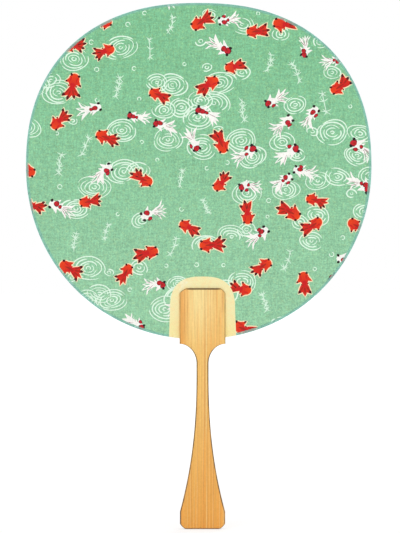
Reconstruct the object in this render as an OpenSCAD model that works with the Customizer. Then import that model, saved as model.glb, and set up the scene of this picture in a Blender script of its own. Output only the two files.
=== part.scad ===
// A round paper hand fan with a flat wooden handle.
// Split-bamboo ribs fan out between two sheets of paper, a folded paper strip binds the trimmed
// edge, and the slotted head of a one-piece handle clamps the lower end of the body.
// The fan stands upright with its printed face towards -Y. The origin is the middle of the
// handle's foot, so the sheet's middle plane is y = 0 and the handle's middle line is x = 0.

/* [Fan body] */
// Width of the body on its widest line
body_w = 245; // [200:1:260]
// Height of the body above its widest line
crown_h = 116; // [95:1:125]
// Fullness of the outline above the widest line, where 2 is an ellipse
crown_power = 2.3; // [2:0.05:2.8]
// Fullness of the outline below the widest line, where 2 is a circle
low_power = 2.04; // [1.9:0.01:2.2]
// Height of the body's lower edge above the handle's foot
body_low_z = 134.2; // [132:0.1:138]
// How far the trimmed body sits to the side of the handle's middle line
trim_offset = -2.7; // [-6:0.1:6]
// Number of straight steps round the outline, a multiple of four
rim_steps = 144; // [72:4:180]

/* [Ribs] */
// Number of ribs split from one piece of bamboo
rib_count = 51; // [21:2:53]
// Width of a rib where it has its full width
rib_w = 1.6; // [1:0.1:2]
// Thickness of a rib
rib_t = 0.45; // [0.3:0.05:0.6]
// Angle between the two outermost ribs
rib_spread = 170; // [120:1:176]
// Height of the point that the ribs spread from
rib_hub_z = 145; // [142:0.5:150]
// Distance from that point to the ribs' thin lower ends
rib_start = 13; // [8:0.5:18]
// Share of the room between two neighbours that a thinned rib fills
rib_fill = 0.9; // [0.5:0.05:0.95]

/* [Paper] */
// Thickness of the front and the back sheet
sheet_t = 0.2; // [0.15:0.05:0.3]
// Thickness of the strip that binds the edge
binding_t = 0.12; // [0.08:0.02:0.16]
// Width of the binding on each face
binding_w = 1.8; // [1.2:0.1:4]
// Thickness of the arched base papers at the handle's head
base_t = 0.25; // [0.2:0.05:0.35]
// Width of a base paper where its arch springs
base_w = 46.2; // [38:0.2:60]
// Extra width of a base paper at the body's lower edge
base_flare = 1.4; // [0:0.1:4]
// Height at which the arch of a base paper springs
base_spring_z = 155; // [145:0.5:165]
// Height of the top of a base paper
base_top_z = 178.7; // [174:0.1:195]
// Fullness of the arch, where 2 is an ellipse
base_power = 2.7; // [2:0.1:4]

/* [Handle] */
// Length of the handle, from its foot to the top of its head
handle_l = 170.5; // [165:0.5:172]
// Thickness of the handle
handle_t = 8; // [6:0.1:10]
// Width of the head
head_w = 32.5; // [28:0.1:36]
// Height of the square corners where the head meets the shoulders
head_low_z = 131; // [128:0.1:131.5]
// Height of the head's two rounded top corners
head_corner_h = 3.6; // [2:0.1:8]
// Width of the head's top corner on the -X side
head_corner_left = 5.2; // [2:0.1:8]
// Width of the head's top corner on the +X side
head_corner_right = 3.8; // [2:0.1:8]
// Thickness of the head at its top edge, both cheeks and the body between them
head_top_t = 4.4; // [3.4:0.1:6]
// Height over which the hollow shoulders widen the neck to the head
shoulder_h = 14; // [8:0.5:18]
// Width of the neck
neck_w = 8.5; // [6:0.1:12]
// Length of the straight neck below the shoulders
neck_l = 6; // [4:0.5:25]
// Width of the foot
foot_w = 32; // [22:0.1:38]
// Height of the foot's straight sides
foot_side_h = 12; // [5:0.5:15]
// Size of the foot's two lower corners
foot_corner_r = 3.9; // [2:0.1:6]
// How flat the corners of the head and the foot are, where 1 is round and 2 a straight cut
corner_cut = 1.6; // [1:0.1:2]
// How quickly the flare above the foot narrows, where 1 is straight
flare_power = 2.3; // [1.2:0.01:2.6]
// Radius of the eased edges along the handle
edge_r = 1.2; // [0.6:0.1:2]
// Gap between the body's lower edge and the floor of the slot
slot_gap = 0.3; // [0.1:0.1:1]

/* [Hidden] */
body_r = body_w / 2;
body_middle = [trim_offset, body_low_z + body_r];
// Distances of the layers' outer faces from the middle plane
rib_face = rib_t / 2;
sheet_face = rib_face + sheet_t;
binding_face = sheet_face + binding_t;
base_face = sheet_face + base_t;
// Ribs
rib_pitch = rib_spread / (rib_count - 1);
rib_room = rib_fill * rib_pitch * PI / 180;
rib_full_r = rib_w / rib_room;
rib_reach = body_w + crown_h;
// Heights of the handle's curves
shoulder_low_z = head_low_z - shoulder_h;
neck_low_z = shoulder_low_z - neck_l;
flare_steps = 16;
corner_steps = 6;
shoulder_steps = 12;
edge_steps = 5;
slot_floor_z = body_low_z - slot_gap;
// Colours
paper_green = [0.55, 0.8, 0.64];
paper_plain = [0.93, 0.9, 0.8];
paper_cream = [0.97, 0.9, 0.66];
strip_aqua = [0.66, 0.86, 0.8];
bamboo = [0.87, 0.76, 0.52];
handle_wood = [0.92, 0.74, 0.44];

RIB_NAMES = [for (i = [1 : rib_count]) str("rib_", i < 10 ? "0" : "", i)];

// Distance from the body's middle to its edge: nearly round below the widest line, fuller above it
function rim_radius(a) = let (
    power = sin(a) <= 0 ? low_power : crown_power,
    height = sin(a) <= 0 ? body_r : crown_h
) pow(pow(abs(cos(a)) / body_r, power) + pow(abs(sin(a)) / height, power), -1 / power);

function rim_place(a) = rim_radius(a) * [cos(a), sin(a)];

// Unit direction out of the body, square to its edge
function rim_normal(a) = let (
    step = 0.5,
    along = rim_place(a + step) - rim_place(a - step)
) [along.y, -along.x] / norm(along);

// The body's outline in the XZ plane, drawn in from the trimmed edge by inset
function body_outline(inset) = [
    for (i = [0 : rim_steps - 1])
        let (a = 360 * i / rim_steps)
        body_middle + rim_place(a) - inset * rim_normal(a)
];

// Outline of a base paper in the XZ plane, from its low corners over its arch
function base_outline() = let (
    steps = 36,
    low_half = (base_w + base_flare) / 2,
    arch_h = base_top_z - base_spring_z
) concat(
    [[-low_half, body_low_z - 1], [low_half, body_low_z - 1]],
    [
        for (i = [0 : steps])
            let (a = 180 * i / steps, p = 2 / base_power)
            [sign(cos(a)) * pow(abs(cos(a)), p) * base_w / 2, base_spring_z + arch_h * pow(sin(a), p)]
    ]
);

// The handle's outline from the foot to the top of the head, as triples: a height and the
// distances of the left and the right edge from the middle line
function even(z, half_w) = [z, half_w, half_w];
function corner_in(a) = 1 - pow(max(0, cos(a)), corner_cut);
function foot_corner() = [
    for (i = [0 : corner_steps])
        let (a = 90 * i / corner_steps)
        even(foot_corner_r * corner_in(a), foot_w / 2 - foot_corner_r * corner_in(90 - a))
];
function flare() = [
    for (i = [0 : flare_steps])
        let (u = i / flare_steps)
        even(
            foot_side_h + u * (neck_low_z - foot_side_h),
            neck_w / 2 + (foot_w - neck_w) / 2 * pow(1 - u, flare_power)
        )
];
function shoulder() = [
    for (i = [0 : shoulder_steps])
        let (a = 90 * i / shoulder_steps)
        even(shoulder_low_z + shoulder_h * sin(a), head_w / 2 - (head_w - neck_w) / 2 * cos(a))
];
function head_corner() = [
    for (i = [0 : corner_steps])
        let (a = 90 * i / corner_steps)
        [
            handle_l - head_corner_h * corner_in(90 - a),
            head_w / 2 - head_corner_left * corner_in(a),
            head_w / 2 - head_corner_right * corner_in(a)
        ]
];
function handle_stations() = concat(foot_corner(), flare(), shoulder(), head_corner());

// How far a face has drawn in at a distance from an end that is eased to radius r
function ease(distance, r) = distance >= r ? 0 : r - sqrt(r * r - pow(r - distance, 2));

// Half thickness of the handle: even up to the shoulders, then thinning to the top edge
function half_thickness(z) = let (
    thinning = max(0, (z - shoulder_low_z) / (handle_l - shoulder_low_z))
) handle_t / 2 - (handle_t - head_top_t) / 2 * thinning
    - ease(z, edge_r) - ease(handle_l - z, edge_r / 2);

// One level section of the handle, a rectangle with rounded corners
function handle_section(z, left, right, half_t) = [
    for (corner = [[1, 1, 0], [-1, 1, 90], [-1, -1, 180], [1, -1, 270]])
        for (i = [0 : edge_steps])
            let (a = corner[2] + 90 * i / edge_steps, half_w = corner[0] > 0 ? right : left)
            [
                corner[0] * (half_w - edge_r) + edge_r * cos(a),
                corner[1] * (half_t - edge_r) + edge_r * sin(a),
                z
            ]
];

// A flat layer between two distances behind the middle plane, from an outline in the XZ plane
module layer(y_front, y_back, outline) {
    translate([0, y_back, 0])
        rotate([90, 0, 0])
            linear_extrude(y_back - y_front)
                polygon(outline);
}

// A skin through level sections that all have the same number of points
module loft(sections) {
    count = len(sections[0]);
    last = len(sections) - 1;
    points = [for (section = sections) each section];
    sides = [
        for (k = [0 : last - 1])
            for (i = [0 : count - 1])
                let (j = (i + 1) % count)
                [k * count + i, (k + 1) * count + i, (k + 1) * count + j, k * count + j]
    ];
    foot = [for (i = [0 : count - 1]) i];
    top = [for (i = [count - 1 : -1 : 0]) last * count + i];
    polyhedron(points, concat([foot], sides, [top]), convexity = 4);
}

module handle_blank() {
    loft([for (s = handle_stations()) handle_section(s[0], s[1], s[2], half_thickness(s[0]))]);
}

// The sawn slot that takes the body's lower end, open at the top and at both sides
module head_slot() {
    translate([-head_w, -base_face, slot_floor_z])
        cube([2 * head_w, 2 * base_face, handle_l]);
}

module handle() {
    color(handle_wood)
        difference() {
            handle_blank();
            head_slot();
        }
}

module front_paper() {
    color(paper_green)
        layer(-sheet_face, -rib_face, body_outline(binding_t));
}

module back_paper() {
    color(paper_plain)
        layer(rib_face, sheet_face, body_outline(binding_t));
}

// The strip folded over the edge, a channel that runs right round the body
module edge_channel() {
    difference() {
        layer(-binding_face, binding_face, body_outline(0));
        layer(-sheet_face, sheet_face, body_outline(binding_t));
        layer(-2 * binding_face, 2 * binding_face, body_outline(binding_w));
    }
}

module edge_binding() {
    color(strip_aqua)
        edge_channel();
}

// A base paper lies on its sheet and steps up over the binding at the body's lower edge
module base_paper(y_front, y_back) {
    color(paper_cream)
        difference() {
            intersection() {
                layer(y_front, y_back, base_outline());
                layer(y_front, y_back, body_outline(0));
            }
            edge_channel();
        }
}

module front_base_paper() {
    base_paper(-base_face, -sheet_face);
}

module back_base_paper() {
    base_paper(sheet_face, base_face);
}

// A rib along +X: thinned near the hub so that it clears its neighbours, then of even width
module rib_blank() {
    layer(-rib_face, rib_face, [
        [rib_start, -rib_start * rib_room / 2],
        [rib_full_r, -rib_w / 2],
        [rib_reach, -rib_w / 2],
        [rib_reach, rib_w / 2],
        [rib_full_r, rib_w / 2],
        [rib_start, rib_start * rib_room / 2]
    ]);
}

// One rib, counted from the +X side and trimmed to the edge with the sheets
module rib(i) {
    rise = 90 - rib_spread / 2 + (i - 1) * rib_pitch;
    color(bamboo)
        intersection() {
            translate([0, 0, rib_hub_z])
                rotate([0, -rise, 0])
                    rib_blank();
            layer(-rib_face, rib_face, body_outline(binding_t));
        }
}

handle();
front_paper();
back_paper();
edge_binding();
front_base_paper();
back_base_paper();
for (i = [1 : rib_count]) {
    rib(i);
}
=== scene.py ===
import cmath
import math
import random

import bmesh
import bpy
from bpy.props import FloatProperty, FloatVectorProperty, IntProperty, PointerProperty
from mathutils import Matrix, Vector
from mathutils.geometry import delaunay_2d_cdt


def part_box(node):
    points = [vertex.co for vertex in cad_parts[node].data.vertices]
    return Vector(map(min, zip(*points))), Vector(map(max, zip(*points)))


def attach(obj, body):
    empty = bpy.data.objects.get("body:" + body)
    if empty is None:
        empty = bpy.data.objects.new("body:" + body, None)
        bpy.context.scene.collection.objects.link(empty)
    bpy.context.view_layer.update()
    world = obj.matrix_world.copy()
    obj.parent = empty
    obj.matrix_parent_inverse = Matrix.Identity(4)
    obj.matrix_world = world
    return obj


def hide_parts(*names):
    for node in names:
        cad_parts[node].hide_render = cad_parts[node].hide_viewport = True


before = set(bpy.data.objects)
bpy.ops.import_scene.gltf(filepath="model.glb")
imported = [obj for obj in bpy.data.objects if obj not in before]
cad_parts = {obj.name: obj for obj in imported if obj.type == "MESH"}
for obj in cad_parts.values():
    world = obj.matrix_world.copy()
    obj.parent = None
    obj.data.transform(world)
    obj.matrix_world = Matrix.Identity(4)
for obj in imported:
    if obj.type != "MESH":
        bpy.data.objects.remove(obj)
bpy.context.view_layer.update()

bl_info = {
    "name": "Round paper fan",
    "version": (1, 0, 0),
    "blender": (4, 5, 0),
    "location": "View3D > Sidebar > Fan",
    "description": "Dresses a round paper hand fan in printed washi, bamboo and planed wood",
    "category": "Object",
}

# The fan stands upright in metres. Its printed face looks towards -Y, x runs to the right of that
# face and z runs up from the handle's foot. Outlines are drawn in that face's plane, each point a
# complex number x + z * 1j.

BODY = "root"
MM = 0.001
FULL_TURN = 2 * math.pi
UP = math.pi / 2
WHITE = (1.0, 1.0, 1.0, 1.0)
STRIP_SEED = 11
RIB_SEED = 23

STRIP_LOW, STRIP_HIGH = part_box("edge_binding")
SHEET_LOW, SHEET_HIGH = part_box("front_paper")
BASE_LOW, BASE_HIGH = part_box("front_base_paper")
HANDLE_LOW, HANDLE_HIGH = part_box("handle")
RIB_NODES = sorted(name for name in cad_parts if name.startswith("rib_"))


def distance(name, description, default):
    """A length that a user may change, in metres."""
    return FloatProperty(
        name=name,
        description=description,
        default=default,
        precision=5,
        unit="LENGTH",
        subtype="DISTANCE",
    )


def angle(name, description, default):
    """An angle that a user may change."""
    return FloatProperty(name=name, description=description, default=default, subtype="ANGLE")


def share(name, description, default):
    """A plain number that a user may change."""
    return FloatProperty(name=name, description=description, default=default)


def count(name, description, default):
    """A whole number that a user may change."""
    return IntProperty(name=name, description=description, default=default, min=0)


def colour(name, description, *levels):
    """A colour that a user may change, written as it looks, in steps of 0 to 255."""
    seen = (level / 255 for level in levels)
    linear = tuple(v / 12.92 if v <= 0.04045 else ((v + 0.055) / 1.055) ** 2.4 for v in seen)
    return FloatVectorProperty(
        name=name, description=description, default=linear, size=3, min=0, max=1, subtype="COLOR"
    )


class FanBodySizes(bpy.types.PropertyGroup):
    """Sizes of the papered body and its ribs."""

    width: distance("Width", "Width of the body on its widest line", STRIP_HIGH.x - STRIP_LOW.x)
    low: distance("Lower edge", "Height of the body's lower edge above the foot", STRIP_LOW.z)
    height: distance("Height", "Height of the body", STRIP_HIGH.z - STRIP_LOW.z)
    trim_offset: distance(
        "Trim offset",
        "How far the trimmed body sits to the side of the handle",
        (STRIP_LOW.x + STRIP_HIGH.x) / 2,
    )
    fullness: share("Crown fullness", "Fullness of the outline above the widest line", 2.3)
    low_fullness: share("Lower fullness", "Fullness of the outline below the widest line", 2.04)
    rib_count: count("Ribs", "Number of split-bamboo ribs", len(RIB_NODES))
    rib_width: distance("Rib width", "Width of a rib where it is full", 1.6 * MM)
    rib_spread: angle("Rib spread", "Angle between the two outermost ribs", math.radians(170))
    rib_hub: distance("Rib hub", "Height of the point that the ribs spread from", 145 * MM)
    rib_start: distance("Rib start", "Distance from the hub to the ribs' lower ends", 13 * MM)
    rib_fill: share("Rib fill", "Share of the room between neighbours that a thin rib fills", 0.9)
    sheet_out: distance("Sheet face", "Distance of a sheet's outer face", -SHEET_LOW.y)
    sheet_in: distance("Sheet back", "Distance of a sheet's inner face", -SHEET_HIGH.y)
    strip_out: distance("Strip face", "Distance of the edge strip's outer face", -STRIP_LOW.y)
    strip_width: distance("Strip width", "Width of the edge strip on each face", 1.8 * MM)
    front_hollow: distance("Front hollow", "How far the front paper sinks between ribs", 0.11 * MM)
    back_hollow: distance("Back hollow", "How far the back paper sinks between ribs", 0.15 * MM)
    base_out: distance("Base paper face", "Distance of a base paper's outer face", -BASE_LOW.y)
    base_width: distance("Base paper width", "Width where the arch springs", 46.2 * MM)
    base_flare: distance("Base paper flare", "Extra width at the body's lower edge", 1.4 * MM)
    arch_spring: distance("Arch spring", "Height at which the arch springs", 155 * MM)
    arch_top: distance("Arch top", "Height of the base paper's top", BASE_HIGH.z)
    arch_fullness: share("Arch fullness", "Fullness of the arch", 2.7)


class FanHandleSizes(bpy.types.PropertyGroup):
    """Sizes of the one-piece handle."""

    length: distance("Length", "Length of the handle", HANDLE_HIGH.z)
    thickness: distance("Thickness", "Thickness of the handle", HANDLE_HIGH.y - HANDLE_LOW.y)
    head_width: distance("Head width", "Width of the head", HANDLE_HIGH.x - HANDLE_LOW.x)
    head_low: distance("Head corners", "Height of the head's lower corners", 131 * MM)
    corner_height: distance("Head corner height", "Height of the head's top corners", 3.6 * MM)
    corner_left: distance("Head corner, left", "Width of the head's left corner", 5.2 * MM)
    corner_right: distance("Head corner, right", "Width of the head's right corner", 3.8 * MM)
    corner_cut: share("Corner cut", "Flatness of the corners: 1 is round, 2 a straight cut", 1.6)
    head_top: distance("Head top thickness", "Thickness of the head at its top edge", 4.4 * MM)
    shoulder: distance("Shoulder height", "Height over which the shoulders widen", 14 * MM)
    neck_width: distance("Neck width", "Width of the neck", 8.5 * MM)
    neck_length: distance("Neck length", "Length of the straight neck", 6 * MM)
    foot_width: distance("Foot width", "Width of the foot", 32 * MM)
    foot_side: distance("Foot side height", "Height of the foot's straight sides", 12 * MM)
    foot_corner: distance("Foot corner", "Size of the foot's corners", 3.9 * MM)
    flare: share("Flare", "How quickly the flare above the foot narrows", 2.3)
    edge: distance("Edge radius", "Radius of the eased edges", 1.2 * MM)
    slot_gap: distance("Slot gap", "Gap between the body and the slot's floor", 0.3 * MM)


class FanPrintSizes(bpy.types.PropertyGroup):
    """Scale and number of the print's motifs."""

    seed: count("Seed", "Choice of the print's layout", 5)
    schools: count("Schools", "Number of small groups of fish", 31)
    ripples: count("Ripples", "Number of ripples", 100)
    weeds: count("Water weed", "Number of sprigs of water weed", 21)
    bubbles: count("Bubbles", "Number of bubbles", 36)
    red_fish: distance("Red fish", "Length of a red goldfish", 18.6 * MM)
    white_fish: distance("White fish", "Length of a white goldfish", 20.6 * MM)
    weed: distance("Sprig", "Length of a sprig of water weed", 16 * MM)
    bubble: distance("Bubble", "Radius of a bubble", 1.4 * MM)
    line: distance("Ripple line", "Width of a ripple's line", 0.8 * MM)
    weed_line: distance("Sprig line", "Width of a line in a sprig", 0.62 * MM)
    bubble_line: distance("Bubble line", "Width of a bubble's line", 0.6 * MM)
    ray_line: distance("Tail ray line", "Width of a ray in a white tail", 0.38 * MM)
    halo: distance("Halo", "Width of the pale edge round a goldfish", 0.7 * MM)
    fish_room: distance("Room for fish", "Least distance between two goldfish", 20 * MM)
    ripple_room: distance("Room for ripples", "Least distance between two ripples", 10 * MM)


class FanPrintInks(bpy.types.PropertyGroup):
    """Inks of the printed sheet."""

    ground: colour("Ground", "Water green of the ground", 127, 194, 149)
    warm: colour("Warm cast", "Warm cast of the ground in places", 170, 208, 140)
    pale: colour("Pale line", "Pale green of ripples and bubbles", 226, 250, 230)
    weed: colour("Weed", "Pale green of the water weed", 216, 244, 222)
    halo: colour("Halo", "Cream edge round the goldfish", 255, 232, 190)
    orange: colour("Orange red", "Head and back of a red goldfish", 238, 64, 12)
    crimson: colour("Crimson", "Tail root of a red goldfish", 206, 20, 24)
    scarlet: colour("Scarlet", "Outer tail of a red goldfish", 222, 46, 14)
    brick: colour("Brick", "Middle of a red tail's lobes", 170, 34, 14)
    maroon: colour("Maroon", "Tips of fins and tails", 70, 10, 14)
    white: colour("White", "Body and tail of a white goldfish", 252, 250, 244)
    patch: colour("Patch", "Patches of a white goldfish", 196, 26, 42)
    ray: colour("Ray", "Thin rays in a white tail", 132, 60, 74)
    eye: colour("Eye", "Eyes of the goldfish", 30, 14, 18)


class FanPaperColours(bpy.types.PropertyGroup):
    """Colours of the unprinted papers and the bamboo."""

    back: colour("Back", "Undyed washi of the back", 240, 232, 208)
    back_fibre: colour("Back fibre", "Long fibres of the undyed washi", 252, 247, 233)
    base: colour("Base paper", "Cream washi at the handle's head", 250, 236, 166)
    base_pale: colour("Base paper, pale", "Where the cream washi is paler", 250, 244, 208)
    base_warm: colour("Base paper, warm", "Where the cream washi is warmer", 255, 226, 162)
    strip: colour("Edge strip", "Aqua strip that binds the edge", 162, 224, 210)
    strip_fold: colour("Edge fold", "The strip along its fold", 148, 212, 200)
    strip_dark: colour("Dark edge fold", "Darkened places along the fold", 88, 148, 148)
    bamboo: colour("Bamboo", "Split bamboo", 214, 184, 124)
    bamboo_skin: colour("Bamboo skin", "Split bamboo near its skin", 196, 178, 108)


class FanWoodColours(bpy.types.PropertyGroup):
    """Colours of the handle's wood."""

    head: colour("Head", "Wood at the middle of the head", 252, 226, 154)
    neck: colour("Neck", "Wood at the neck", 246, 197, 110)
    foot: colour("Foot", "Wood at the foot", 238, 170, 78)
    streak: colour("Streak", "Orange streaks along the grain", 234, 154, 64)
    line: colour("Growth line", "Thin dark growth lines", 196, 128, 58)
    # Painted shade on the rounded edges and a painted shadow line under the head's top, as well as the end
    # grain's own darker colour.
    arris: colour("Arris", "Darkened edges and end grain", 86, 62, 28)


def held(value):
    """A number kept between 0 and 1."""
    return max(0.0, min(1.0, value))


def shares(steps):
    """Evenly spaced numbers from 0 to 1, both included."""
    return [k / steps for k in range(steps + 1)]


def turns(steps):
    """Evenly spaced turns right round, each only once."""
    return [FULL_TURN * k / steps for k in range(steps)]


def sides(loop):
    """Each point of a closed line with the point after it."""
    return zip(loop, loop[1:] + loop[:1])


class FanBody:
    """Plan of the papered body: its outline, its ribs and the hollows between them."""

    RIM_STEPS = 480
    # Half width of the paper that lies flat on a rib, in widths of the rib
    FLAT_SHARE = 0.56
    # Where the paper's slope eases off between a rib and the middle of a hollow, and its depth there
    KNEE = 0.35
    KNEE_DEPTH = 0.58
    # Distances from the hub between which the hollows deepen
    HOLLOW_STARTS = 36 * MM
    HOLLOW_FULL = 72 * MM
    # Flat band inside the rim, and the band within it over which the hollows deepen
    RIM_FLAT = 2.2 * MM
    RIM_SLOPE = 5 * MM

    def __init__(self, sizes):
        self.reach = sizes.width / 2
        self.crown = sizes.height - self.reach
        self.power = sizes.fullness
        self.low_power = sizes.low_fullness
        self.middle = complex(sizes.trim_offset, sizes.low + self.reach)
        self.hub = complex(0, sizes.rib_hub)
        self.rib_count = sizes.rib_count
        self.pitch = sizes.rib_spread / (sizes.rib_count - 1)
        self.paper_inset = sizes.strip_out - sizes.sheet_out
        self.sheet_out = sizes.sheet_out
        self.sheet_in = sizes.sheet_in
        self.flat = self.FLAT_SHARE * sizes.rib_width

    def rim_radius(self, turn):
        """Distance from the body's middle to its edge, nearly round below and fuller above."""
        above = math.sin(turn) > 0
        power = self.power if above else self.low_power
        height = self.crown if above else self.reach
        parts = (abs(math.cos(turn)) / self.reach, abs(math.sin(turn)) / height)
        return sum(part ** power for part in parts) ** (-1 / power)

    def lower_edge(self, across):
        """Height of the body's lower edge beside the handle's middle line."""
        out = abs(across - self.middle.real) / self.reach
        return self.middle.imag - self.reach * (1 - out ** self.low_power) ** (1 / self.low_power)

    def rim_place(self, turn, inset=0.0):
        """Point on the edge, or inset into the body square to the edge."""
        step = 0.004
        along = cmath.rect(self.rim_radius(turn + step), turn + step)
        along -= cmath.rect(self.rim_radius(turn - step), turn - step)
        outward = -1j * along / abs(along)
        return self.middle + cmath.rect(self.rim_radius(turn), turn) - inset * outward

    def outline(self, inset, steps=RIM_STEPS):
        """The body's edge, drawn in by inset."""
        return [self.rim_place(turn, inset) for turn in turns(steps)]

    def ring(self, inset, steps=RIM_STEPS):
        """The body's edge as a line that ends where it starts."""
        return self.outline(inset, steps) + [self.rim_place(0.0, inset)]

    def depth_inside(self, spot):
        """About how far a point lies inside the edge."""
        arm = spot - self.middle
        return self.rim_radius(cmath.phase(arm)) - abs(arm)

    def rib_direction(self, number):
        """Direction of a rib, counted from the +X side as 0, 1, 2 and so on."""
        middle_rib = (self.rib_count - 1) / 2
        return cmath.rect(1, UP + (number - middle_rib) * self.pitch)

    def nearest_rib(self, spot):
        """Number of the rib nearest to a point."""
        turn = cmath.phase((spot - self.hub) / 1j)
        number = round(turn / self.pitch + (self.rib_count - 1) / 2)
        return max(0, min(self.rib_count - 1, number))

    def half_gap(self, reach):
        """Half the distance between two neighbouring ribs at a distance from the hub."""
        return reach * math.tan(self.pitch / 2)

    def hollow(self, spot):
        """Share of its full depth that the hollow between two ribs has at a point."""
        arm = (spot - self.hub) / self.rib_direction(self.nearest_rib(spot))
        room = self.half_gap(arm.real if arm.real > 0 else self.HOLLOW_FULL)
        across = held((abs(arm.imag) - self.flat) / max(room - self.flat, MM))
        beyond = held((across - self.KNEE) / (1 - self.KNEE))
        depth = self.KNEE_DEPTH * min(1.0, across / self.KNEE) + (1 - self.KNEE_DEPTH) * beyond
        out = (abs(arm) - self.HOLLOW_STARTS) / (self.HOLLOW_FULL - self.HOLLOW_STARTS)
        rim = (self.depth_inside(spot) - self.RIM_FLAT) / self.RIM_SLOPE
        return depth * held(out) * held(rim)

    def crease_lines(self):
        """Lines along which the paper turns at each rib and in each hollow."""
        lines = []
        past_rim = 2.2 * self.reach
        for number in range(self.rib_count):
            out = self.rib_direction(number)
            for side in (-1j, 1j):
                for across in (0.0, self.KNEE, 1.0):
                    if across == 1.0 and (side == -1j or number == self.rib_count - 1):
                        continue
                    ends = [
                        reach + side * (self.flat * (1 - across) + across * self.half_gap(reach))
                        for reach in (self.HOLLOW_STARTS, past_rim)
                    ]
                    lines.append([self.hub + out * end for end in ends])
        numbers = [k / 2 - 1 for k in range(2 * self.rib_count + 3)]
        for reach in (self.HOLLOW_STARTS, self.HOLLOW_FULL):
            lines.append([self.hub + reach * self.rib_direction(number) for number in numbers])
        for inset in (self.RIM_FLAT, self.RIM_FLAT + self.RIM_SLOPE):
            lines.append(self.ring(inset, self.RIM_STEPS // 2))
        return lines


def leaf(root, tip, width, bend=0.0, opening=0.3, steps=6):
    """Outline of a pointed lobe from root to tip, already open at its root and bent sideways."""
    along = tip - root
    side = 1j * along / abs(along)
    knee = root + along / 2 + side * bend * abs(along)
    low = []
    high = []
    for t in shares(steps)[:-1]:
        spine = (1 - t) ** 2 * root + 2 * t * (1 - t) * knee + t * t * tip
        half = side * width / 2 * math.sin(math.pi * (opening + (1 - opening) * t))
        low.append(spine - half)
        high.append(spine + half)
    return low + [tip] + high[::-1]


def egg(middle, length, width, blunt, steps=22):
    """Outline of a body whose blunt end points along +x."""
    outline = []
    for turn in turns(steps):
        half = width / 2 * math.sin(turn) * (1 + blunt * math.cos(turn))
        outline.append(middle + complex(length / 2 * math.cos(turn), half))
    return outline


def blob(draw, middle, long_radius, short_radius, steps=14):
    """Outline of an uneven round patch."""
    swing = draw.uniform(0, FULL_TURN)
    outline = []
    for turn in turns(steps):
        uneven = 1 + 0.12 * math.sin(2 * turn + swing) + 0.07 * math.sin(3 * turn - swing)
        spot = complex(long_radius * math.cos(turn), short_radius * math.sin(turn))
        outline.append(middle + uneven * spot)
    return outline


def stroke(path, width, blunt=0.35):
    """Outline of a brushed line along a path, thinner at both ends."""
    last = len(path) - 1
    left = []
    right = []
    for k, spot in enumerate(path):
        along = path[min(k + 1, last)] - path[max(k - 1, 0)]
        swell = blunt + (1 - blunt) * min(1.0, 3 * math.sin(math.pi * k / last))
        half = 1j * along / abs(along) * width / 2 * swell
        left.append(spot + half)
        right.append(spot - half)
    return right + left[::-1]


def grow(outline, margin):
    """An outline drawn out by margin all round."""
    total = len(outline)
    grown = []
    for k, spot in enumerate(outline):
        along = outline[(k + 1) % total] - outline[k - 1]
        grown.append(spot - 1j * along / abs(along) * margin)
    return grown


def push_apart(spots, room, rounds=40):
    """Moves spots until each has room round it."""
    for _ in range(rounds):
        for k in range(1, len(spots)):
            for other in range(k):
                gap = spots[k] - spots[other]
                short = room - abs(gap)
                if short > 0:
                    spots[k] += gap / abs(gap) * short / 2
                    spots[other] -= gap / abs(gap) * short / 2


def turned_left(outline):
    """The outline, counted against the clock."""
    area = sum((a.conjugate() * b).imag for a, b in sides(outline))
    return outline if area > 0 else outline[::-1]


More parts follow.
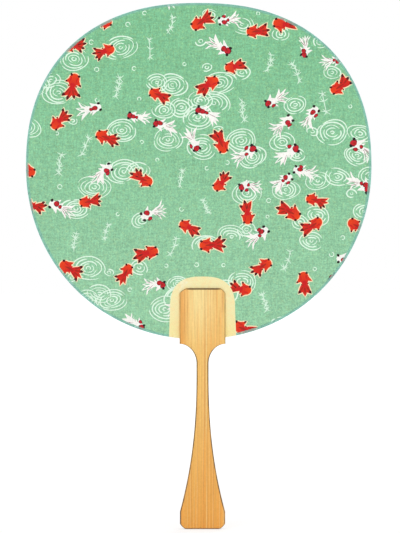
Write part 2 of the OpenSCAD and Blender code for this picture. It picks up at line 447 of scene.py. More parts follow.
class Print:
    """The print's shapes in the order in which they are laid down, each with its ink.

    A goldfish swims along +x and is drawn in lengths of the fish. A fin is a root, a tip and a
    width, a patch is a middle and two radii, and a tail is how far each of its lobes leans.
    """

    RED_TAILS = ((-0.6, 0.02, 0.6), (-0.72, -0.25, 0.25, 0.72), (-0.66, -0.2, 0.3, 0.7))
    RED_FINS = ((0.27 + 0.10j, 0.09 + 0.29j, 0.15), (0.09 + 0.05j, 0.16j, 0.08))
    WHITE_SHARE = 0.44
    PATCH_SETS = ((0, 1), (0, 3), (1, 2, 3), (0, 2, 3), (0, 1, 2), (1, 3), (1, 2))
    SPRIG_LEANS = (0.65, 1.2, 2.3)

    def __init__(self, sizes, inks, body):
        self.sizes = sizes
        self.inks = {name: tuple(getattr(inks, name)) for name in inks.__annotations__}
        self.body = body
        self.draw = random.Random(sizes.seed)
        self.outlines = []
        self.fills = []
        self.place_motif(0)

    def lay(self, outline, near, far=None, start=0, end=1, margin=0):
        """Lays a shape in one ink, or shaded from near at start to far at end, grown by margin."""
        placed = turned_left([self.spot + self.scale * mark for mark in outline])
        self.outlines.append(grow(placed, margin) if margin else placed)
        start, end = (self.spot + self.scale * mark for mark in (start, end))
        self.fills.append((self.inks[near], self.inks[far or near], start, end))

    def ink_at(self, shape, spot):
        """Colour of a shape at a point."""
        near, far, start, end = self.fills[shape]
        t = held(((spot - start) / (end - start)).real)
        return tuple(a + (b - a) * t for a, b in zip(near, far))

    def chance(self, odds):
        """True in a share of cases."""
        return self.draw.random() < odds

    def place_motif(self, spot, scale=1):
        """Has the next shapes laid round a spot, sized and turned by scale."""
        self.spot = spot
        self.scale = scale

    def place_fish(self, spot, heading, length, growth, reach):
        """Has the next shapes laid as one goldfish. Gives the swing of its tail."""
        self.place_motif(spot, length * self.draw.uniform(*growth) * cmath.rect(1, heading))
        return cmath.rect(1, self.draw.uniform(-reach, reach))

    def red_fish(self, spot, heading):
        """A red goldfish seen from above, its tail swung to one side."""
        draw = self.draw
        swing = self.place_fish(spot, heading, self.sizes.red_fish, (0.9, 1.1), 0.6)
        waist = 0.02
        shapes = []
        marks = []
        leans = draw.choice(self.RED_TAILS)
        for lean in leans:
            lean += draw.uniform(-0.06, 0.06)
            lobe = -swing * cmath.rect(draw.uniform(0.45, 0.54) - 0.06 * abs(lean), lean)
            outline = leaf(waist + 0.05, waist + lobe, 0.7 / len(leans), -0.34 * lean, 0.16, 8)
            shapes.append((outline, "crimson", "scarlet", waist, waist + lobe))
            for first, last, width, fill in ((0.68, 1, 0.105, "maroon"), (0.3, 0.8, 0.06, "brick")):
                marks.append((waist + first * lobe, waist + last * lobe, width, -0.1 * lean, fill))
        for side in (1, -1):
            for root, tip, width in self.RED_FINS:
                base = complex(root.real, side * root.imag)
                along = tip.real + draw.uniform(-0.03, 0.05)
                far = complex(along, side * tip.imag * draw.uniform(0.85, 1.1))
                shapes.append((leaf(base, far, width, side * 0.14, 0.4), "orange", "scarlet", base, far))
                marks.append((base + 0.66 * (far - base), far, 0.075, 0.0, "maroon"))
        shapes.append((egg(0.25, 0.47, 0.38, 0.06), "orange", "crimson", 0.45, waist - 0.05))
        shapes.append((leaf(0.14, waist - 0.1 * swing, 0.17, 0.0, 0.3, 4), "crimson"))
        for outline, *_ in shapes:
            self.lay(outline, "halo", margin=self.sizes.halo)
        for shape in shapes:
            self.lay(*shape)
        for root, tip, width, bend, fill in marks:
            if self.chance(0.85):
                self.lay(leaf(root, tip, width, bend, 0.2, 4), fill)
        for side in (1, -1):
            if self.chance(0.85):
                self.lay(blob(draw, complex(0.42, side * 0.135), 0.052, 0.046, 8), "maroon")
            if self.chance(0.7):
                edge = side * draw.uniform(0.1, 0.15)
                stripe = leaf(complex(0.36, edge), complex(0.16, edge), 0.05, side * 0.2, 0.2, 4)
                self.lay(stripe, "crimson")
        if self.chance(0.6):
            self.lay(leaf(0.26 + 0.01j, waist - 0.12 * swing, 0.07, 0.05, 0.1), "brick")
        if self.chance(0.5):
            gap = waist - swing * cmath.rect(0.3, draw.uniform(-0.4, 0.4))
            self.lay(leaf(waist - 0.12 * swing, gap, 0.03, 0.0, 0.2, 4), "maroon")

    def white_fish(self, spot, heading):
        """A white goldfish with red patches and a long tail of slim lobes."""
        draw = self.draw
        swing = self.place_fish(spot, heading, self.sizes.white_fish, (0.85, 1.08), 0.65)
        waist = 0.1
        shapes = []
        rays = []
        slits = []
        lobes = draw.choice((4, 5, 5, 6))
        opening = draw.uniform(0.6, 0.8)
        for k, across in enumerate(shares(lobes - 1)):
            lean = opening * (2 * across - 1) + draw.uniform(-0.05, 0.05)
            lobe = -swing * cmath.rect(draw.uniform(0.46, 0.6) - 0.08 * abs(lean), lean)
            width = 0.56 * draw.uniform(0.85, 1.1) / lobes
            shapes.append(leaf(waist + 0.02, waist + lobe, width, -0.3 * lean, 0.2, 7))
            if self.chance(0.6):
                root, tip = (waist + part * lobe for part in (0.4, 0.86))
                slits.append(leaf(root, tip, 0.34 * width, -0.2 * lean, 0.2, 5))
            if k < lobes - 1:
                between = lean + opening / (lobes - 1)
                rays.append([waist - swing * cmath.rect(reach, between) for reach in (0.068, 0.204, 0.34)])
        for side in (1, -1):
            far = complex(draw.uniform(0.1, 0.2), side * draw.uniform(0.2, 0.28))
            shapes.append(leaf(0.34 + side * 0.06j, far, 0.1, side * 0.15, 0.3, 5))
            if self.chance(0.6):
                shapes.append(leaf(0.17 + side * 0.04j, 0.05 + side * 0.15j, 0.06, 0.0, 0.3, 4))
        shapes.append(egg(0.30, 0.42, 0.26, 0.1))
        for outline in shapes:
            self.lay(outline, "white", margin=0.14 * self.sizes.halo)
        for slit in slits:
            self.lay(slit, "ground")
        for ray in rays:
            if self.chance(0.6):
                self.lay(stroke(ray, self.sizes.ray_line / abs(self.scale)), "ray")
        patches = (
            (0.41, 0.1, 0.1),
            (0.27 + draw.choice((-0.06j, 0.0j, 0.06j)), 0.085, 0.075),
            (0.13, 0.05, 0.045),
            (0.26 + draw.choice((-0.16j, 0.16j)), 0.07, 0.045),
        )
        rim = 0.016
        for number in draw.choice(self.PATCH_SETS):
            middle, long_radius, short_radius = patches[number]
            self.lay(blob(draw, middle, long_radius + rim, short_radius + rim), "maroon")
            self.lay(blob(draw, middle, long_radius, short_radius), "patch")
            if self.chance(0.6):
                self.lay(blob(draw, middle - 0.03, long_radius / 2, short_radius / 3, 8), "brick")
        for side in (1, -1):
            self.lay(blob(draw, complex(0.45, side * 0.12), 0.056, 0.05, 8), "eye")

    def ripple(self, spot):
        """A ripple: brushed rings, broken here and there."""
        draw = self.draw
        rings = draw.choice((2, 3, 4, 4, 5, 5))
        step = draw.uniform(2.0, 2.5) * MM
        flatness = draw.uniform(0.68, 0.8)
        self.place_motif(spot, cmath.rect(1, draw.uniform(-0.25, 0.25)))
        swing = draw.uniform(0, FULL_TURN)
        facing = draw.uniform(0, FULL_TURN)
        only_side = self.chance(0.18)
        for ring in range(rings):
            radius = step * (ring + draw.uniform(0.5, 0.7))
            if only_side and ring > 0:
                runs = [(facing + draw.uniform(-0.3, 0.3), draw.uniform(0.4, 0.62) * FULL_TURN)]
            else:
                pieces = draw.choice((1, 1, 2, 2, 3)) if ring > 0 else 1
                whole = FULL_TURN / pieces
                begin = draw.uniform(0, FULL_TURN)
                runs = [(begin + k * whole, whole * draw.uniform(0.76, 0.98)) for k in range(pieces)]
            for first, sweep in runs:
                path = []
                for t in shares(max(6, round(sweep * radius / (1.1 * MM)))):
                    turn = first + sweep * t
                    uneven = 1 + 0.05 * math.sin(2 * turn + swing + ring)
                    uneven += 0.035 * math.sin(3 * turn - swing * ring)
                    path.append(radius * uneven * complex(math.cos(turn), flatness * math.sin(turn)))
                self.lay(stroke(path, self.sizes.line * draw.uniform(0.65, 1.25)), "pale")

    def weed(self, spot, heading):
        """A sprig of water weed, its leaves in whorls round a bent stem."""
        draw = self.draw
        length = self.sizes.weed * draw.uniform(0.75, 1.1)
        self.place_motif(spot, length * cmath.rect(1, heading))
        bend = draw.uniform(-0.14, 0.14)
        whorls = draw.choice((3, 3, 4, 4))
        width = self.sizes.weed_line / length

        def on_stem(t):
            return complex(t - 0.5, bend * math.sin(math.pi * t))

        self.lay(stroke([on_stem(t) for t in shares(7)], width, 0.5), "weed")
        for whorl in range(whorls):
            knot = on_stem(0.14 + (whorl + draw.uniform(-0.12, 0.12)) * 0.74 / (whorls - 1))
            for side in (1, -1):
                for lean in self.SPRIG_LEANS:
                    if self.chance(0.3):
                        continue
                    turn = side * (lean + draw.uniform(-0.15, 0.15))
                    tip = knot + cmath.rect(draw.uniform(0.18, 0.27), turn)
                    self.lay(leaf(knot, tip, width, 0.12 * side, 0.35, 4), "weed")

    def bubble(self, spot):
        """A small ring, left open on one side."""
        self.place_motif(spot)
        radius = self.sizes.bubble * self.draw.uniform(0.75, 1.15)
        begin = self.draw.uniform(0, FULL_TURN)
        sweep = self.draw.uniform(0.72, 0.97) * FULL_TURN
        path = [cmath.rect(radius, begin + sweep * t) for t in shares(12)]
        self.lay(stroke(path, self.sizes.bubble_line, 0.6), "pale")

    def open_spot(self, taken, tries):
        """The roomiest of a few spots drawn at random."""
        best = None
        for _ in range(tries):
            reach = (self.body.reach + 12 * MM) * math.sqrt(self.draw.random())
            spot = self.body.middle + cmath.rect(reach, self.draw.uniform(0, FULL_TURN))
            room = min((abs(spot - other) - radius for other, radius in taken), default=1.0)
            if best is None or room > best[0]:
                best = (room, spot)
        return best[1]

    def scatter(self, number, room, taken, tries):
        """Spots in the roomiest places left. Each is then taken, with room round it."""
        spots = []
        for _ in range(number):
            spots.append(self.open_spot(taken, tries))
            taken.append((spots[-1], room))
        return spots

    def school_spots(self):
        """Places of the goldfish, in small groups that are spread over the sheet."""
        draw = self.draw
        spots = []
        for number, centre in enumerate(self.scatter(self.sizes.schools, 0.0, [], 60)):
            members = (2, 3, 3)[number % 3]
            begin = draw.uniform(0, FULL_TURN)
            for turn in turns(members):
                turn += begin + draw.uniform(-0.3, 0.3)
                spots.append(centre + cmath.rect(draw.uniform(10, 13.5) * MM, turn))
        push_apart(spots, self.sizes.fish_room)
        return spots

    def ripple_spots(self, fish_spots):
        """Places of the ripples, beside a goldfish or beside the ripple before."""
        draw = self.draw
        ripples = []
        for number in range(self.sizes.ripples):
            centre = fish_spots[number % len(fish_spots)]
            options = []
            for _ in range(8):
                reach = draw.uniform(5, 13) * MM
                options.append(centre + cmath.rect(reach, draw.uniform(0, FULL_TURN)))
            spot = max(options, key=lambda spot: min((abs(spot - other) for other in ripples), default=1.0))
            if self.chance(0.3):
                reach = draw.uniform(11, 15) * MM
                beside = cmath.rect(reach, draw.choice((0, math.pi)) + draw.gauss(0, 0.5))
                spot = ripples[-1] + beside if ripples else spot
            ripples.append(spot)
        push_apart(ripples, self.sizes.ripple_room)
        return ripples

    def lay_out(self):
        """Draws the whole print: goldfish over ripples, with weed and bubbles between them."""
        draw = self.draw
        fish_spots = self.school_spots()
        fish = []
        for spot in fish_spots:
            heading = draw.choice((0, math.pi)) + draw.gauss(0, 0.65)
            draw_fish = self.white_fish if self.chance(self.WHITE_SHARE) else self.red_fish
            fish.append((draw_fish, spot, heading))
        ripples = self.ripple_spots(fish_spots)
        taken = [(spot, 4 * MM) for spot in fish_spots] + [(spot, 7 * MM) for spot in ripples]
        weeds = self.scatter(self.sizes.weeds, 8 * MM, taken, 160)
        bubbles = self.scatter(self.sizes.bubbles, 3 * MM, taken, 40)
        for spot in weeds:
            self.weed(spot, UP + draw.uniform(-0.5, 0.5))
        for spot in bubbles:
            self.bubble(spot)
        for spot in ripples:
            self.ripple(spot)
        for draw_fish, spot, heading in fish:
            draw_fish(spot, heading)


def arrange(rim, shapes, lines):
    """Cuts the area inside rim along every shape and line.

    Gives the points, the triangles counted against the clock, and for each triangle the last
    laid shape that covers it, or -1 for none.
    """
    points = []
    edges = []
    loops = []
    for outline in [rim] + shapes:
        loops.append(list(range(len(points), len(points) + len(outline))))
        points += outline
    for line in lines:
        first = len(points)
        points += line
        edges += [(k, k + 1) for k in range(first, len(points) - 1)]
    flat = [Vector((spot.real / MM, spot.imag / MM)) for spot in points]
    whole_hull = 0
    tolerance = 1e-5
    spots, _, faces, _, _, owners = delaunay_2d_cdt(flat, edges, loops, whole_hull, tolerance, True)
    kept = [(face, max(owner) - 1) for face, owner in zip(faces, owners) if 0 in owner]
    if not kept:
        raise RuntimeError("the sheet came out empty")
    used = sorted({corner for face, _ in kept for corner in face})
    number = {old: new for new, old in enumerate(used)}
    places = [complex(spots[old].x, spots[old].y) * MM for old in used]
    triangles = [tuple(number[corner] for corner in face) for face, _ in kept]
    return places, triangles, [top for _, top in kept]


def boundary(triangles):
    """The loop of points round a set of triangles, counted against the clock."""
    edges = {edge for tri in triangles for edge in sides(tri)}
    onward = {a: b for a, b in edges if (b, a) not in edges}
    loop = [min(onward)]
    while onward[loop[-1]] != loop[0]:
        loop.append(onward[loop[-1]])
    if len(loop) != len(onward):
        raise RuntimeError("the sheet has more than one edge")
    return loop


def paper_solid(places, triangles, side, outer, inner, doubled=False):
    """Corners and faces of a closed layer of paper.

    side is -1 for the front and 1 for the back. outer and inner give a place's distance from the
    middle plane. The inner face repeats the triangles where doubled, and is one flat face where not.
    """
    loop = boundary(triangles)
    inside = list(range(len(places))) if doubled else loop
    corners = [(spot.real, side * outer(spot), spot.imag) for spot in places]
    corners += [(places[k].real, side * inner(places[k]), places[k].imag) for k in inside]
    below = {k: len(places) + n for n, k in enumerate(inside)}
    faces = list(triangles)
    faces += [(b, a, below[a], below[b]) for a, b in sides(loop)]
    faces += [tuple(below[k] for k in reversed(face)) for face in (triangles if doubled else [loop])]
    if side > 0:
        faces = [tuple(reversed(face)) for face in faces]
    return corners, faces


def closed_rings(rings, capped=True):
    """Faces of a skin through rings that have the same number of points."""
    total = len(rings[0])
    last = (len(rings) - 1) * total
    faces = []
    for low in range(0, last, total):
        for k, j in sides(list(range(total))):
            faces.append((low + k, low + j, low + total + j, low + total + k))
    if capped:
        faces.append(tuple(reversed(range(total))))
        faces.append(tuple(range(last, last + total)))
    return faces


def add_object(name, data):
    """Puts a mesh, a lamp or a camera in the scene."""
    made = bpy.data.objects.new(name, data)
    bpy.context.scene.collection.objects.link(made)
    return made


def make_piece(name, corners, faces, material, replaced):
    """A piece of the fan as a mesh that stands for packed nodes."""
    mesh = bpy.data.meshes.new(name)
    mesh.from_pydata(corners, [], faces)
    mesh.update()
    mesh.materials.append(material)
    piece = add_object(name, mesh)
    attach(piece, BODY)
    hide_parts(*replaced)
    return piece


def soften(piece, limit=math.radians(35)):
    """Shades a piece smoothly, apart from edges sharper than limit."""
    rough = bmesh.new()
    rough.from_mesh(piece.data)
    for face in rough.faces:
        face.smooth = True
    for edge in rough.edges:
        edge.smooth = edge.calc_face_angle(0.0) < limit
    rough.to_mesh(piece.data)
    rough.free()


def note(piece, name, values):
    """Writes a number for every point of a piece, for its material to read."""
    piece.data.attributes.new(name, "FLOAT", "POINT").data.foreach_set("value", values)


def base_outline(sizes, body):
    """Outline of a base paper: along the body's edge and back over its arch."""
    low_half = (sizes.base_width + sizes.base_flare) / 2
    rise = sizes.arch_top - sizes.arch_spring
    power = 2 / sizes.arch_fullness
    outline = []
    for t in shares(24):
        across = low_half * (2 * t - 1)
        outline.append(complex(across, body.lower_edge(across)))
    for t in shares(72):
        out, up = math.cos(math.pi * t), max(0.0, math.sin(math.pi * t))
        across = math.copysign(abs(out) ** power, out) * sizes.base_width / 2
        outline.append(complex(across, sizes.arch_spring + rise * up ** power))
    return outline


def distance_to(outline, spot):
    """Distance from a point to an outline."""
    nearest = 1.0
    for a, b in sides(outline):
        run = b - a
        nearest = min(nearest, abs(spot - a - run * held(((spot - a) / run).real)))
    return nearest


def ease(gone, radius):
    """How far a face has drawn in at a distance from an end that is eased to radius."""
    if gone >= radius:
        return 0.0
    return radius - math.sqrt(max(0.0, radius ** 2 - (radius - gone) ** 2))


def handle_stations(sizes):
    """The handle's outline from its foot up: heights, and distances of the left and right edge."""
    foot_half = sizes.foot_width / 2
    neck_half = sizes.neck_width / 2
    head_half = sizes.head_width / 2
    shoulder_low = sizes.head_low - sizes.shoulder
    neck_low = shoulder_low - sizes.neck_length
    corner_low = sizes.length - sizes.corner_height
    corner = shares(12)
    stations = []

    def gone(t):
        return 1 - max(0.0, math.cos(UP * t)) ** sizes.corner_cut

    for t in corner:
        half = foot_half - sizes.foot_corner * gone(1 - t)
        stations.append((sizes.foot_corner * gone(t), half, half))
    for t in shares(64):
        half = neck_half + (foot_half - neck_half) * (1 - t) ** sizes.flare
        stations.append((sizes.foot_side + t * (neck_low - sizes.foot_side), half, half))
    for t in shares(30):
        half = head_half - (head_half - neck_half) * math.cos(UP * t)
        stations.append((shoulder_low + sizes.shoulder * math.sin(UP * t), half, half))
    for t in shares(10)[1:-1]:
        stations.append((sizes.head_low + (corner_low - sizes.head_low) * t, head_half, head_half))
    for t in corner:
        left, right = (head_half - width * gone(t) for width in (sizes.corner_left, sizes.corner_right))
        stations.append((sizes.length - sizes.corner_height * gone(1 - t), left, right))
    return stations


def handle_section(sizes, height, left, right):
    """Level section of the handle, a rectangle with eased corners."""
    shoulder_low = sizes.head_low - sizes.shoulder
    thinning = max(0.0, (height - shoulder_low) / (sizes.length - shoulder_low))
    half = sizes.thickness / 2 - (sizes.thickness - sizes.head_top) / 2 * thinning
    half -= ease(height, sizes.edge) + ease(sizes.length - height, sizes.edge / 2)
    section = []
    for start, (side, back) in enumerate(((1, 1), (-1, 1), (-1, -1), (1, -1))):
        reach = right if side > 0 else left
        middle = complex(side * (reach - sizes.edge), back * (half - sizes.edge))
        for t in shares(8):
            spot = middle + cmath.rect(sizes.edge, UP * (start + t))
            section.append((spot.real, spot.imag, height))
    return section


def saw_slot(piece, low, high):
    """Cuts a box out of a piece."""
    blade = bpy.data.meshes.new("blade")
    cutter = bmesh.new()
    bmesh.ops.create_cube(cutter, size=1.0)
    for corner in cutter.verts:
        corner.co = Vector(high[k] if corner.co[k] > 0 else low[k] for k in range(3))
    cutter.to_mesh(blade)
    cutter.free()
    tool = add_object("blade", blade)
    cut = piece.modifiers.new("slot", "BOOLEAN")
    cut.operation = "DIFFERENCE"
    cut.solver = "EXACT"
    cut.object = tool
    whole = len(piece.data.vertices)
    sawn = bpy.data.meshes.new_from_object(piece.evaluated_get(bpy.context.evaluated_depsgraph_get()))
    piece.modifiers.clear()
    piece.data = sawn
    bpy.data.objects.remove(tool)
    if len(sawn.vertices) == whole:
        raise RuntimeError("the slot wasn't cut")


def strip_section(sizes, width, crimp):
    """Section of the edge strip, at one place along it.

    Each point is an inset, a distance from the middle plane, its closeness to the fold, and 1
    outside or 0 on the pasted lining, which the print shows through.
    """
    out = sizes.strip_out
    inner = sizes.sheet_out
    wall = out - inner
    bend = 0.26 * MM
    fold_flat = 0.25 * MM
    fold_fade = 0.3 * MM
    face = [(width, inner + 0.35 * wall), (width - 0.12 * MM, out - crimp), (0.55 * width, out - crimp / 2)]
    face += [(inset, out) for inset in (0.6 * MM, 0.45 * MM, 0.3 * MM)]
    for t in shares(4):
        face.append((bend * (1 - math.sin(UP * t)), out - bend * (1 - math.cos(UP * t))))
    lining = [(wall, inner), (0.5 * width, inner), (width, inner)]
    outside = face + [(inset, -y) for inset, y in reversed(face)]
    inside = [(inset, -y) for inset, y in reversed(lining)] + lining
    section = []
    for spots, seen in ((outside, 1.0), (inside, 0.0)):
        section += [(inset, y, held(1 - (inset - fold_flat) / fold_fade), seen) for inset, y in spots]
    return section


def rib_end(sizes, body, out, across):
    """How far from the hub a line beside a rib's middle meets the trimmed edge."""
    clearance = body.paper_inset + 0.05 * MM
    inside = sizes.rib_start
    outside = 2 * body.reach
    while outside - inside > 0.01 * MM:
        middle = (inside + outside) / 2
        if body.depth_inside(body.hub + out * (middle - 1j * across)) > clearance:
            inside = middle
        else:
            outside = middle
    return inside


def rib_rings(sizes, body, number, draw):
    """Rings of one rib, and how close each lies to a bamboo joint."""
    out = body.rib_direction(number)
    ends = [rib_end(sizes, body, out, side * sizes.rib_width / 2) for side in (-1, 1)]
    end = sum(ends) / 2
    slope = (ends[1] - ends[0]) / sizes.rib_width
    joint = draw.uniform(0.35, 0.8) * end
    joint_reach = 3 * MM
    half_thick = sizes.sheet_in - 0.003 * MM
    eased = 0.07 * MM
    rings = []
    knots = []
    for t in shares(44):
        reach = sizes.rib_start + (end - sizes.rib_start) * t
        half = min(sizes.rib_width, sizes.rib_fill * body.pitch * reach) / 2 - 0.002 * MM
        half *= 1 - 0.05 * draw.random()
        section = []
        for side, face in ((1, 1), (-1, 1), (-1, -1), (1, -1)):
            pair = [(side * half, face * (half_thick - eased)), (side * (half - eased), face * half_thick)]
            section += pair if side * face > 0 else pair[::-1]
        ring = []
        for across, deep in section:
            spot = body.hub + out * (reach + slope * across * t ** 6 - 1j * across)
            ring.append((spot.real, deep, spot.imag))
        rings.append(ring[::-1])
        knots.append(max(0.0, 1 - abs(reach - joint) / joint_reach))
    return rings, knots


class Term:
    """A number or colour on its way through a material. Sums on it add Math nodes."""

    def __init__(self, finish, socket):
        self.finish = finish
        self.socket = socket

    def __add__(self, other):
        return self.finish.sum("ADD", self, other)

    def __radd__(self, other):
        return self.finish.sum("ADD", other, self)

    def __sub__(self, other):
        return self.finish.sum("SUBTRACT", self, other)

    def __rsub__(self, other):
        return self.finish.sum("SUBTRACT", other, self)

    def __mul__(self, other):
        return self.finish.sum("MULTIPLY", self, other)

    def __rmul__(self, other):
        return self.finish.sum("MULTIPLY", other, self)

    def __truediv__(self, other):
        return self.finish.sum("DIVIDE", self, other)

    def __rtruediv__(self, other):
        return self.finish.sum("DIVIDE", other, self)

    def __pow__(self, other):
        return self.finish.sum("POWER", self, other)

    def __abs__(self):
        return self.finish.sum("ABSOLUTE", self)


class Finish:
    """A material, or the world, built node by node. What takes a vector takes a point of the fan
    where none is given."""

    def __init__(self, owner):
        owner.use_nodes = True
        self.owner = owner
        self.tree = owner.node_tree
        self.tree.nodes.clear()

    def node(self, kind, settings=None, inputs=None, output=0):
        """Adds a node, makes its settings, and then fills or links its sockets."""
        made = self.tree.nodes.new("ShaderNode" + kind)
        for name, value in (settings or {}).items():
            setattr(made, name, value)
        for key, value in (inputs or {}).items():
            if isinstance(value, Term):
                self.tree.links.new(value.socket, made.inputs[key])
            else:
                made.inputs[key].default_value = value
        return Term(self, made.outputs[output]) if len(made.outputs) else None

    def sum(self, operation, *values):
        """One step of arithmetic on numbers."""
        return self.node("Math", {"operation": operation}, dict(enumerate(values)))

    def most(self, first, second):
        """The greater of two numbers."""
        return self.sum("MAXIMUM", first, second)

    def place(self):
        """Where a point of the fan is, in metres."""
        return self.node("TexCoord", output="Object")

    def part(self, axis, at=None):
        """One coordinate of a vector."""
        return self.node("SeparateXYZ", inputs={0: at or self.place()}, output=axis)

    def stretched(self, factors, at=None):
        """A vector with each coordinate multiplied."""
        return self.node("VectorMath", {"operation": "MULTIPLY"}, {0: at or self.place(), 1: factors})

    def joined(self, across, deep, up):
        """A vector made of three numbers."""
        return self.node("CombineXYZ", inputs={0: across, 1: deep, 2: up})

    def noise(self, size, detail=2.0, rough=0.5, at=None, warp=0.0):
        """Uneven cloud from about -0.5 to 0.5, whose patches are about size across."""
        inputs = {"Vector": at or self.place(), "Scale": 1 / size, "Detail": detail}
        inputs |= {"Roughness": rough, "Distortion": warp}
        return self.node("TexNoise", inputs=inputs) - 0.5

    def soft_step(self, value, low, high):
        """Rises softly from 0 at low to 1 at high."""
        inputs = {"Value": value, "From Min": low, "From Max": high}
        return self.node("MapRange", {"interpolation_type": "SMOOTHSTEP"}, inputs)

    def dab(self, amount, first, second):
        """Mixes two colours."""
        first, second = (c if isinstance(c, Term) else (*c, 1.0) for c in (first, second))
        settings = {"data_type": "RGBA", "blend_type": "MIX"}
        return self.node("Mix", settings, {0: amount, 6: first, 7: second}, 2)

    def noted(self, name, output="Fac"):
        """A number or colour that the mesh carries."""
        return self.node("Attribute", {"attribute_name": name}, output=output)

    def shaded(self, tint, level):
        """A colour made darker or lighter by a number."""
        return self.node("VectorMath", {"operation": "SCALE"}, {0: tint, "Scale": level})

    def surface(self, tint, rough, height, depth, specular=0.3, **more):
        """Ends the material in a Principled shader whose height from 0 to 1 is depth metres."""
        normal = self.node("Bump", inputs={"Height": height, "Distance": depth, "Strength": 1.0})
        sockets = {"Base Color": tint, "Roughness": rough, "Normal": normal, **more}
        shader = self.node("BsdfPrincipled", inputs={"Specular IOR Level": specular, **sockets})
        self.node("OutputMaterial", inputs={"Surface": shader})
        return self.owner


def new_finish(name):
    return Finish(bpy.data.materials.new(name))


def washi_fibres(finish, size, thin):
    """Hair-like fibres, seen as thin lines that wander through the paper, from 0 to 1."""
    lines = None
    for shift, stretch in ((0.0, (1.0, 1.0, 1.0)), (0.31, (1.7, 1.0, 0.6)), (0.73, (0.6, 1.0, 1.8))):
        moved = finish.node("VectorMath", {"operation": "ADD"}, {0: finish.place(), 1: (shift,) * 3})
        field = finish.noise(size, 1.5, 0.55, finish.stretched(stretch, moved), 0.6)
        gaps = finish.soft_step(finish.noise(0.7 * size, 1.0, at=moved), 0.0, 0.08)
        line = (1 - finish.soft_step(abs(field), 0.0, thin)) * gaps
        lines = finish.most(lines, line) if lines else line
    return lines


def round_hub(finish, sizes):
    """Distance from the rib hub, and the turn from straight up."""
    across = finish.part("X")
    up = finish.part("Z") - sizes.rib_hub
    return (across ** 2 + up ** 2) ** 0.5, finish.sum("ARCTAN2", across, up)


def rib_shade(finish, sizes):
    """1 over a rib and 0 between ribs, worked out from the rib hub."""
    reach, turn = round_hub(finish, sizes)
    pitch = sizes.rib_spread / (sizes.rib_count - 1)
    number = turn / pitch
    off = abs(number - finish.sum("ROUND", number)) * pitch * reach
    near = 1 - finish.soft_step(off, 0.42 * sizes.rib_width, 0.85 * sizes.rib_width)
    return near * finish.soft_step(reach, FanBody.HOLLOW_STARTS, FanBody.HOLLOW_FULL)


def printed_washi(sizes, inks):
    """Printed paper: inks over a mottled, fibrous ground with a warm cast in places."""
    finish = new_finish("printed_washi")
    cover = finish.noted("cover")
    bare = 1 - cover
    clouds = finish.noise(16 * MM, 3.0, 0.6)
    grain = finish.noise(0.95 * MM, 3.0, 0.75)
    laid = finish.noise(0.65 * MM, at=finish.stretched((1.0, 1.0, 0.1)))
    woven = finish.noise(0.65 * MM, at=finish.stretched((0.12, 1.0, 1.0)))
    fibres = washi_fibres(finish, 5 * MM, 0.012)
    mottled = finish.soft_step(finish.noise(1.5 * MM, 2.0, 0.7), -0.06, 0.22)
    # The bare ground turns paler towards the bottom.
    toward_bottom = 1 - finish.soft_step(finish.part("Z"), sizes.rib_hub, 370 * MM)
    tint = finish.dab(mottled * bare * 0.36, finish.noted("ink", "Color"), inks.warm)
    tint = finish.dab(toward_bottom * bare * 0.16, tint, inks.pale)
    level = clouds * 0.10 + grain * (bare * 0.85 + 0.45) + 1.0
    level = level + (laid + woven) * (bare * 0.3 + 0.1) + fibres * bare * 0.05
    level = level - rib_shade(finish, sizes) * 0.02
    rough = 0.86 - cover * 0.14 + grain * 0.1
    height = grain * 0.5 + fibres * 0.5 + cover * 0.25
    return finish.surface(finish.shaded(tint, level), rough, height, 0.03 * MM)


def plain_washi(sizes, colours):
    """Undyed paper of the back, with long fibres and the ribs' faint shade."""
    finish = new_finish("plain_washi")
    clouds = finish.noise(22 * MM, 3.0, 0.6)
    grain = finish.noise(0.6 * MM, 2.0, 0.6)
    fibres = washi_fibres(finish, 7 * MM, 0.014)
    flecks = finish.soft_step(finish.noise(2.4 * MM, 1.0), 0.2, 0.24)
    tint = finish.dab(fibres * 0.7, colours.back, colours.back_fibre)
    tint = finish.dab(flecks * 0.35, tint, colours.bamboo)
    tint = finish.dab(rib_shade(finish, sizes) * 0.16, tint, colours.bamboo)
    level = clouds * 0.10 + grain * 0.07 + 1.0
    height = grain * 0.5 + fibres * 0.6
    return finish.surface(finish.shaded(tint, level), grain * 0.1 + 0.88, height, 0.04 * MM)


def base_washi(sizes, colours):
    """Thick cream paper at the handle's head, paler at its top left and along its edge."""
    finish = new_finish("base_washi")
    clouds = finish.noise(9 * MM, 3.0, 0.6)
    grain = finish.noise(0.6 * MM, 3.0, 0.65)
    fibres = washi_fibres(finish, 4 * MM, 0.014)
    warm = finish.soft_step(finish.noise(3 * MM, 2.0, 0.7), -0.05, 0.15)
    left = 1 - finish.soft_step(finish.part("X"), -20 * MM, 4 * MM)
    high = finish.soft_step(finish.part("Z"), 160 * MM, sizes.arch_top)
    pale = finish.most(left * high * 0.9 + clouds * 1.8 + fibres * 0.5, finish.noted("edge") * 0.6)
    tint = finish.dab(finish.most(pale, 0.0), colours.base, colours.base_pale)
    tint = finish.dab(warm * 0.45, tint, colours.base_warm)
    level = grain * 0.3 + 1.0
    height = grain * 0.6 + fibres * 0.5
    return finish.surface(finish.shaded(tint, level), grain * 0.1 + 0.85, height, 0.05 * MM)


